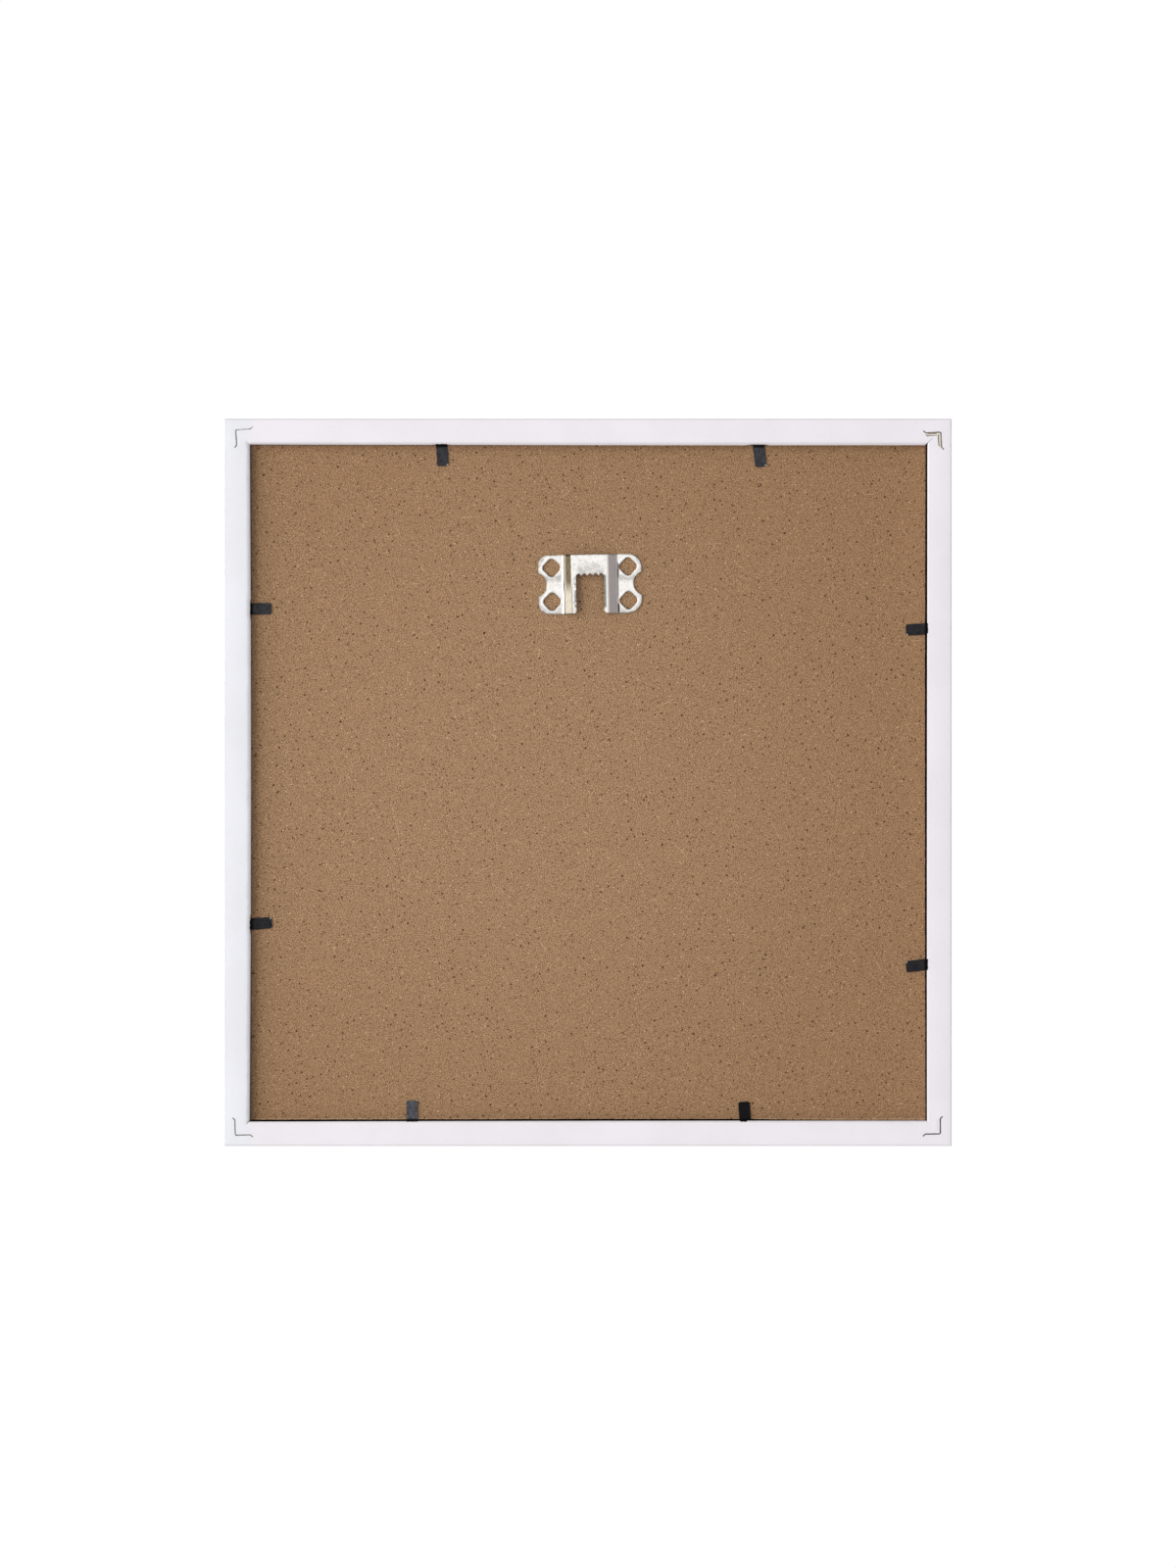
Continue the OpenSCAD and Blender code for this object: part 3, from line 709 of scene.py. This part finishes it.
def black_steel():
    """Black tempered strip, each at its own grey, its root painted black as shade and a band behind it painted
    paler as a highlight, with a bare spot at a corner.
    """
    g = Graph("black_steel")
    where = g.place()
    wear = g.noise(where, 1.4, 4, 0.65)
    fine = g.noise(where, 0.3, 3, 0.6)
    grey = g.times(g.mark("grey"), g.step(wear, 0.3, 0.75, 0.62, 1.42), g.step(fine, 0.25, 0.75, 0.75, 1.25))
    tone = g.join(*(g.times(grey, share) for share in (0.97, 0.98, 1.12)))
    bare = g.step(g.math("MULTIPLY_ADD", fine, 0.6, g.mark("bare")), 0.75, 1.0)
    tone = g.mix(bare, tone, shade(176, 172, 160))
    return g.surface(tone, g.step(fine, 0.3, 0.7, 0.42, 0.58), Metallic=g.times(bare, 0.6), Specular_IOR_Level=0.12,
                     Normal=g.bump(fine, 0.012))


def clear_glass():
    """Clear glass, thin enough to show the sheet behind it without bending the light."""
    g = Graph("glass")
    waver = g.noise(g.place(), 60, 1)
    return g.surface((0.88, 0.91, 0.9, 1), 0.02, Alpha=0.15, Specular_IOR_Level=1.0, Normal=g.bump(waver, 0.02))


def blank_paper():
    g = Graph("paper")
    pulp = g.noise(g.place(), 0.4, 4, 0.65)
    tone = g.blend(pulp, (243, 241, 237), (249, 248, 245))
    return g.surface(tone, 0.85, Specular_IOR_Level=0.2, Normal=g.bump(pulp, 0.01))


PLATED, BLACK, HARDBOARD = plated_steel(), black_steel(), hardboard()
# What shows on a rail, by number. Painted shade: black in tab notches, near black on the bare rebate, grey on one
# wall
RAIL_MATERIALS = (white_paint(), wood("pale_wood", (220, 204, 190), (242, 232, 222)),
                  wood("torn_wood", (108, 76, 54), (162, 128, 100)), wood("notch", (14, 12, 12), (26, 22, 20)),
                  wood("raw_wood_painted_shade", (14, 10, 9), (26, 19, 16)), wood("wall_painted_shade", (116, 108, 110), (160, 152, 154)))
PAINT, PALE, TORN, NOTCH_SHADE, RAW_SHADED, SHADED_WALL = range(6)
CARRIED_OVER = {"hardboard": HARDBOARD, "bare_steel": bare_steel(), "black_steel": BLACK, "glass": clear_glass(),
                "paper": blank_paper(), "white_paint": RAIL_MATERIALS[PAINT], "zinc_steel": PLATED}
for part in frame["record"]["subparts"]:
    node = frame["nodes"][part["node"]]
    node.data.materials.clear()
    node.data.materials.append(CARRIED_OVER[part["material_slot"]])


# Sawtooth hanger

def hanger_outline():
    """The plate's outline, with its round bites, and the toothed edge of its slot."""
    bite_r = ((BITE_W / 2) ** 2 + BITE_D ** 2) / (2 * BITE_D)
    bite_x = HANGER_W / 2 + bite_r - BITE_D
    reach = math.degrees(math.asin(BITE_W / 2 / bite_r))
    bite = arc((bite_x, 0), bite_r, 180 + reach, 180 - reach, 16)
    bite = [(x, z, BITE_EDGE_R if i in (0, len(bite) - 1) else 0) for i, (x, z) in enumerate(bite)]
    slope = TOOTH_H / (TOOTH_PITCH / 2)
    shoulder = SEAT_OVER_PLATE - SLOT_MARGIN * slope
    slot = [(-SLOT_W / 2, shoulder, SHOULDER_R)]
    slot += [(j * TOOTH_PITCH / 2, SEAT_OVER_PLATE - (abs(j + TEETH) % 2) * TOOTH_H, TOOTH_R)
             for j in range(-TEETH, TEETH + 1)]
    slot += [(SLOT_W / 2, shoulder, SHOULDER_R)]
    low = -HANGER_H / 2
    far, near = HANGER_CORNERS
    corners = [(-HANGER_W / 2, low, far[0]), (-SLOT_W / 2, low, FOOT_R), *slot, (SLOT_W / 2, low, FOOT_R),
               (HANGER_W / 2, low, near[0]), *bite, (HANGER_W / 2, -low, near[1]), (-HANGER_W / 2, -low, far[1])]
    corners += [(-x, z, radius) for x, z, radius in reversed(bite)]
    return eased(corners, 6)


def diamond_holes():
    """The four diamond holes, rounded at their corners: outlines, middles, and half their width and height."""
    tilt = math.atan2(HOLE_H, HOLE_W)
    half_w = HOLE_W / 2 + HOLE_R * (1 / math.sin(tilt) - 1)
    half_h = HOLE_H / 2 + HOLE_R * (1 / math.cos(tilt) - 1)
    loop = eased([(half_w, 0, HOLE_R), (0, half_h, HOLE_R), (-half_w, 0, HOLE_R), (0, -half_h, HOLE_R)], 6)
    middles = [(side * (HANGER_W / 2 - HOLE_IN), end * HOLE_PITCH / 2) for side in (-1, 1) for end in (-1, 1)]
    return [[(x + mx, z + mz) for x, z in loop] for mx, mz in middles], middles, half_w, half_h


def prong(middle, side, end, half_w, half_h):
    """Vertices and faces of a triangle of the same sheet, turned down at one side of a hole."""
    facing = math.atan2(half_h, half_w)
    turn = side * facing if end > 0 else side * (math.pi - facing)
    flat = [(-PRONG_W / 2, HANGER_T / 2), (-PRONG_W / 2, 0), (0, -PRONG_L), (PRONG_W / 2, 0),
            (PRONG_W / 2, HANGER_T / 2)]
    vertices, n = [], len(flat)
    for depth in (PRONG_INSET, HANGER_T - PRONG_INSET):
        for px, py in flat:
            ax, az = turned(px, depth, math.degrees(turn))
            vertices.append(at_hanger(middle[0] + side * half_w / 2 + ax, py, middle[1] + end * half_h / 2 + az))
    faces = [tuple(reversed(range(n))), tuple(range(n, 2 * n))]
    faces += [(i, (i + 1) % n, n + (i + 1) % n, n + i) for i in range(n)]
    return vertices, faces


def hanger():
    low, high = HANGER_T / 2, BRIDGE_LIFT + HANGER_T / 2
    line = [(-HANGER_W / 2 - OVERRUN, low), (-RAMP_X, low), (-BRIDGE_W / 2, high),
            (BRIDGE_W / 2, high), (RAMP_X, low), (HANGER_W / 2 + OVERRUN, low)]
    line = bent(line, HANGER_BEND_R + HANGER_T / 2, 10)
    upper, lower = sideways(line, HANGER_T / 2), sideways(line, -HANGER_T / 2)
    holes, middles, half_w, half_h = diamond_holes()

    def lumps(x, z):
        points = np.stack([x, z], 1)
        gap = distance_to_any(points, holes)
        wave = np.array([noise.noise(Vector((a * WAVE_RATE, b * WAVE_RATE, 3.0))) for a, b in points])
        return sum(height * bell(gap - off, width) for height, off, width in BURRS) + wave * WAVE_H

    def top(x, z):
        return np.interp(x, *upper.T) + lumps(x, z)

    def bottom(x, z):
        return np.interp(x, *lower.T) + np.maximum(lumps(x, z), 0) * UNDERNEATH

    bends = [p[0] for p in line if min(abs(abs(p[0]) - RAMP_X), abs(abs(p[0]) - BRIDGE_W / 2)) < BEND_REACH]
    bends += [x + d for x in (-RAMP_X, -BRIDGE_W / 2, BRIDGE_W / 2, RAMP_X) for d in BEND_COLUMNS]
    extra = [(x, z) for x in bends for z in np.arange(-HANGER_H / 2, HANGER_H / 2, PLATE_STEP)]
    outline, fine = spaced(hanger_outline(), PLATE_STEP), [spaced(hole, HOLE_STEP) for hole in holes]
    vertices, faces = sheet_mesh(outline, fine, top, bottom, PLATE_EDGE_R, PLATE_GRID, extra)
    gap = distance_to_any(vertices[:, [0, 2]], holes)
    border = distance_to(vertices[:, [0, 2]], outline)
    # rim marks a ring round every hole, painted brighter as a highlight; edge marks the edges, painted dark as
    # shade
    marks = {"rim": bell(gap - RIM_HIGHLIGHT_OFF, RIM_HIGHLIGHT_WIDTH),
             "edge": np.maximum(bell(gap, EDGE_SHADE_WIDTH), OUTER_EDGE_SHADE * bell(border, EDGE_SHADE_WIDTH))}
    vertices = [at_hanger(*v) for v in vertices]
    for middle in middles:
        for side, end in ((-1, -1), (-1, 1), (1, -1), (1, 1)):
            more, sides = prong(middle, side, end, half_w, half_h)
            faces += [tuple(len(vertices) + i for i in face) for face in sides]
            vertices += more
    marks = {key: list(values) + [0.0] * (len(vertices) - len(values)) for key, values in marks.items()}
    new_piece("hanger_plate", vertices, faces, [PLATED], "frame", "sawtooth_hanger", slot="zinc_steel", marks=marks)


# Flexible tabs

TAB_GLOSS, TAB_DARKEST = 0.008, 0.002
# Where the painted shade on the root ends, and how much paler the painted highlight behind it is, where and how
# wide
ROOT_SHADE_OUT, ROOT_SHADE_EASE, ROOT_SHADE_SHARE, BEND_HIGHLIGHT, BEND_HIGHLIGHT_OUT, BEND_HIGHLIGHT_WIDTH = 0.7, 0.35, 0.05, 0.25, 1.8, 0.9
# The bare spot: how far in from the side and from the tip it is, and its radius
BARE_IN, BARE_BACK, BARE_R = 0.5, 0.45, 0.5


def tab_leaf(tab):
    reach = tab.reach * TAB_OUT
    sin, cos = math.sin(math.radians(tab.skew)), math.cos(math.radians(tab.skew))
    root = BEND_OFF - TAB_T / 2
    corners = [(TAB_W / 2, -reach, TAB_TIP_R), (-TAB_W / 2, -reach, TAB_TIP_R)]
    # The sides run back to the bend line, which lies square to the rebate wall
    corners += [(a, (a * sin - root) / cos, 0) for a in (-TAB_W / 2, TAB_W / 2)]
    plan = [turned(a, b, tab.skew) for a, b in eased(corners, 6)]

    def lift(z):
        return tab.lift * np.clip((-z - root) / (reach - root), 0, 1) ** 2

    vertices, faces = sheet_mesh(spaced(plan, LEAF_STEP), [], lambda x, z: TAB_T / 2 + lift(z),
                                 lambda x, z: lift(z) - TAB_T / 2, LEAF_EDGE_R, LEAF_STEP)
    # Its grey under this light, less the gloss
    grey = max(TAB_DARKEST, shade(tab.grey, tab.grey, tab.grey)[0] - TAB_GLOSS)
    out = -vertices[:, 2] + WALL_W - wall_at(tab.side, tab.place)
    # The root is painted black as shade, and a band behind it is painted paler as the highlight of its bend
    grey = grey * np.clip((out - ROOT_SHADE_OUT) / ROOT_SHADE_EASE, ROOT_SHADE_SHARE, 1)
    grey = grey * (1 + BEND_HIGHLIGHT * bell(out - BEND_HIGHLIGHT_OUT, BEND_HIGHLIGHT_WIDTH))
    spot = turned(math.copysign(TAB_W / 2 - BARE_IN, tab.bare), -reach + BARE_BACK, tab.skew)
    bare = bell(np.linalg.norm(vertices[:, [0, 2]] - spot, axis=1), BARE_R) * abs(tab.bare)
    along = tab.place * REBATE / 2
    vertices = [row_at_side(tab.side, x + along, TAB_Y + y, z - WALL_W) for x, y, z in vertices]
    new_piece("leaf_" + tab.name, vertices, faces, [BLACK], "leaf_" + tab.name, "tab_leaf_" + tab.name,
              slot="black_steel", marks={"grey": grey, "bare": bare})


# Hardboard

def board():
    outline = ragged(BOARD_OUTLINE, BOARD_STEP, BOARD_UNEVEN)
    vertices, faces = sheet_mesh(outline, [], lambda x, z: BOARD_BACK, lambda x, z: BOARD_BACK - BOARD_T,
                                 BOARD_EDGE_R, BOARD_GRID)
    new_piece("board_sheet", [row(*v) for v in vertices], faces, [HARDBOARD], "frame", "backing_board",
              slot="hardboard")


# Rails

def wall_at(side, share):
    """Where the back edge of the rebate wall is, in from the outer face, at a share from -1 to 1 along a side."""
    start, middle, end = WALLS[side]
    return WALL_W + middle + (end - start) / 2 * share + ((start + end) / 2 - middle) * share ** 2


def room_at(side, share):
    """From 0 to 1, how much the wall has to leave room for a tab, at a share from -1 to 1 along a side."""
    off = min(abs(share - tab.place) for tab in TABS if tab.side == side) * REBATE / 2
    return np.interp(off - TAB_W / 2 - TAB_ROOM_SPREAD, (0, TAB_ROOM_EASE), (1, 0))


def rail_section(side, share, arris):
    """Section of a rail as (d, y), in from the outer face and back from the front one, and the material of every
    stretch of it."""
    room = room_at(side, share)
    wall, foot = (d - room * max(0, d - WALL_W - TAB_ROOM) for d in (wall_at(side, share), WALL_W + FEET[side]))
    inner = MOULDING_W - FRONT_R
    radius = arris / math.sin(math.radians(ARRIS_TURN))
    points = (arc((FRONT_R, FRONT_R), FRONT_R, 180, 270) + arc((inner, FRONT_R), FRONT_R, 270, 360)
              + [(MOULDING_W, LIP_T), (foot, LIP_T), (foot, PAINT_EDGE)]
              + arc((wall - arris, MOULDING_D - radius), radius, 90 - ARRIS_TURN, 90, 6)
              + arc((OUTER_R, MOULDING_D - OUTER_R), OUTER_R, 90, 180, 6))
    bare = points.index((MOULDING_W, LIP_T))
    # The rebate's bare wood is painted near black as the shade deep in the gap, and the wall at +x grey as shade
    kinds = {bare: RAW_SHADED, bare + 1: RAW_SHADED, bare + 2: SHADED_WALL if side == 1 else PAINT}
    return points, [kinds.get(i, PAINT) for i in range(len(points))]


def rail(side):
    vertices, faces, kinds = [], [], []
    for s in np.linspace(-1, 1, RAIL_STATIONS):
        fast, slow = (share * noise.noise(Vector((s * rate, side, seed))) for share, rate, seed in ARRIS_WAVES)
        section, stretch = rail_section(side, s, np.interp(s, (-1, 0, 1), ARRIS[side]) * (1 + fast + slow))
        vertices += [row_at_side(side, s * (HALF - d), y, -d) for d, y in section]
    count = len(section)
    last = len(vertices) - count
    for first in range(0, last, count):
        for i in range(count):
            k = (i + 1) % count
            faces.append((first + i, first + count + i, first + count + k, first + k))
            kinds.append(stretch[i])
    faces += [tuple(range(count)), tuple(last + i for i in reversed(range(count)))]
    kinds += [TORN, TORN]
    name = SIDES[side] + "_rail"
    piece = new_piece(name + "_painted", vertices, faces, RAIL_MATERIALS, "frame", name, slot="white_paint",
                      kinds=kinds)
    cuts = [cut for corner in (side, (side + 3) % 4) for cut in corner_cuts(corner)]
    cuts += [tab_notch(tab) for tab in TABS if tab.side == side]
    for x, z, radius in CHIPS:
        if side == max(range(4), key=lambda k: turned(x, z, -90 * k)[1]):
            chip = ragged(arc((x, z), radius, 0, 324, 9), 1, 0.5 * radius)
            cuts.append(prism(chip, CHIP_DEPTH, PAINT))
    carve(piece, cuts)


def corner_cuts(corner):
    """What is cut at a corner: dents beside the nail, torn wood, the nail's slot and the open end of the mitre."""
    def place(loop, step=0.4, amount=0.12):
        return ragged([at_corner(corner, x, z) for x, z in loop], step, amount)

    cuts = []
    kind = PALE if corner == TORN_CORNER else PAINT
    for leg, (width, depth) in enumerate(DENTS[corner]):
        near, far = -DENT_BESIDE, -DENT_BESIDE - width
        dent = [(-NAIL_LEG, near), (-NAIL_LEG, far), (-DENT_START - width, far), (-DENT_START, near)]
        cuts.append(prism(place(dent if leg == 0 else [(z, x) for x, z in dent]), depth, kind))
    if corner == TORN_CORNER:
        cuts += [prism(place(loop), TEAR_DEPTH, TORN) for loop in TEARS]
        for x in SKIN_PLACES:
            skin = [(x, SKIN_FROM), (x - SKIN_W, SKIN_FROM), (x - SKIN_W, SKIN_TO), (x, SKIN_TO)]
            cuts.append(prism(place(skin, 0.5, 0.1), SKIN_DEPTH, TORN))
    flare = [NAIL_FLARE * f(math.radians(NAIL_FLARE_ANGLE)) * NAIL_SLACK_END for f in (math.cos, math.sin)]
    leg = [(-NAIL_LEG - flare[0], flare[1]), (-NAIL_LEG, 0)]
    line = bent(leg + [(0, 0)] + [(z, x) for x, z in reversed(leg)], NAIL_BEND_R + NAIL_T / 2)
    slot = strip(line, NAIL_T + NAIL_SLACK[corner])
    cuts.append(prism(place(slot, 0.5, 0.04), NAIL_SINK + NAIL_SLACK_BELOW, TORN))
    length, half_w = CRACKS[corner]
    start, out, diagonal = HALF - WALL_W - CRACK_START, -WALL_W - CRACK_START, math.sqrt(0.5)
    crack = [(0, -half_w), (length, -CRACK_TIP), (length, CRACK_TIP), (0, half_w)]
    crack = [at_side(corner, start + (a - b) * diagonal, out + (a + b) * diagonal) for a, b in crack]
    cuts.append(prism(ragged(crack, 0.5, 0.08), CRACK_DEPTH, TORN))
    return cuts


def tab_notch(tab):
    """The crushed notch where a tab leaves the wood."""
    low, high, depth = tab.notch
    x0, x1 = (tab.place * REBATE / 2 + end * TAB_W for end in (low, high))
    wall = wall_at(tab.side, tab.place)
    loop = [(x0, -wall - 0.6), (x1, -wall - 0.6), (x1, -wall + depth), (x0, -wall + depth)]
    loop = ragged([at_side(tab.side, x, z) for x, z in loop], 0.45, 0.25)
    # Its faces are painted black, as the shade deep in the notch
    return prism(loop, MOULDING_D - BOARD_BACK, NOTCH_SHADE)


board()
hanger()
for tab in TABS:
    tab_leaf(tab)
for side in range(4):
    rail(side)


# Stage, light and camera

# Millimetres to a pixel of the photograph, its height in pixels, and the x and z in the middle of the view
PIXEL, IMAGE_H, VIEW_MIDDLE = 0.4366, 1600, (0.874, -93.92)
CAMERA_DISTANCE, SENSOR = 4000.0, 36.0
# The floor, in metres, and how much it glows to the eye
FLOOR_RADIUS, FLOOR_Z, FLOOR_GLOW = 8.0, -2.5, 0.3
# Light of the surroundings: from everywhere, what the front and back add, how narrow they are, and to the eye
SOFT_LEVEL, LOBE_LEVEL, LOBE_POWER, SEEN_LEVEL = 0.38, 0.76, 5.0, 1.02
# The lamps, in metres and degrees
LAMP_SIZE, LAMP_DISTANCE, LAMP_ANGLE, LAMP_RISE, LAMP_POWER, FRONT_LAMP_POWER = 4.5, 4.2, 28, 14, 205, 130


def set_stage():
    """A wide pale floor well below the hanging frame, which glows a little, but only to the eye."""
    bpy.ops.mesh.primitive_circle_add(vertices=96, radius=FLOOR_RADIUS, fill_type="NGON", location=(0, 0, FLOOR_Z))
    floor = bpy.context.object
    floor.name = "floor"
    g = Graph("floor")
    seen = g.node("LightPath", {}, "Is Camera Ray")
    floor.data.materials.append(g.surface((0.8, 0.8, 0.8, 1), 0.9, Emission_Color=(1, 1, 1, 1),
                                          Emission_Strength=g.times(seen, FLOOR_GLOW)))


def set_light():
    """White all round to the eye. As light it is brightest on to the front and the back of the frame, with one
    large soft lamp on the left of each."""
    g = Graph("studio", "World")
    depth = g.split(g.node("TexCoord", {}, "Generated"))["Y"]
    lobe = g.math("POWER", g.math("ABSOLUTE", depth), LOBE_POWER)
    white = (1, 1, 1, 1)
    soft = g.node("Background", {"Color": white, "Strength": g.math("MULTIPLY_ADD", lobe, LOBE_LEVEL, SOFT_LEVEL)})
    seen = g.node("Background", {"Color": white, "Strength": SEEN_LEVEL})
    to_eye = g.node("LightPath", {}, "Is Camera Ray")
    scene.world = g.finish(g.node("MixShader", {0: to_eye, 1: soft, 2: seen}))
    lamp("key", 1, LAMP_POWER)
    lamp("front_key", -1, FRONT_LAMP_POWER)


def lamp(name, back, power):
    """A large square soft lamp, a little raised, low over the frame's back on +X (1) or its front on -X (-1)."""
    elevation, rise = math.radians(LAMP_ANGLE), math.radians(LAMP_RISE)
    data = bpy.data.lights.new(name, "AREA")
    data.size, data.energy = LAMP_SIZE, power
    light = linked(name, data)
    flat = math.cos(elevation)
    away = Vector((back * flat * math.cos(rise), back * math.sin(elevation), flat * math.sin(rise)))
    light.location = row(0, MOULDING_D / 2, 0) + away * LAMP_DISTANCE
    light.rotation_euler = away.to_track_quat("Z", "Y").to_euler()
    light.visible_camera = False
    light.visible_glossy = back > 0


def set_camera():
    data = bpy.data.cameras.new("camera")
    camera = linked("camera", data)
    scene.camera = camera
    data.sensor_width = SENSOR
    data.lens = SENSOR * CAMERA_DISTANCE / (PIXEL * IMAGE_H)
    data.clip_start, data.clip_end = 0.1, 20.0
    back_face = MOULDING_D - SEAT_Y
    camera.location = Vector((VIEW_MIDDLE[0], back_face + CAMERA_DISTANCE, VIEW_MIDDLE[1])) * MM
    camera.rotation_euler = (math.radians(90), 0, math.radians(180))


set_stage()
set_light()
set_camera()
scene.view_settings.view_transform = "Standard"
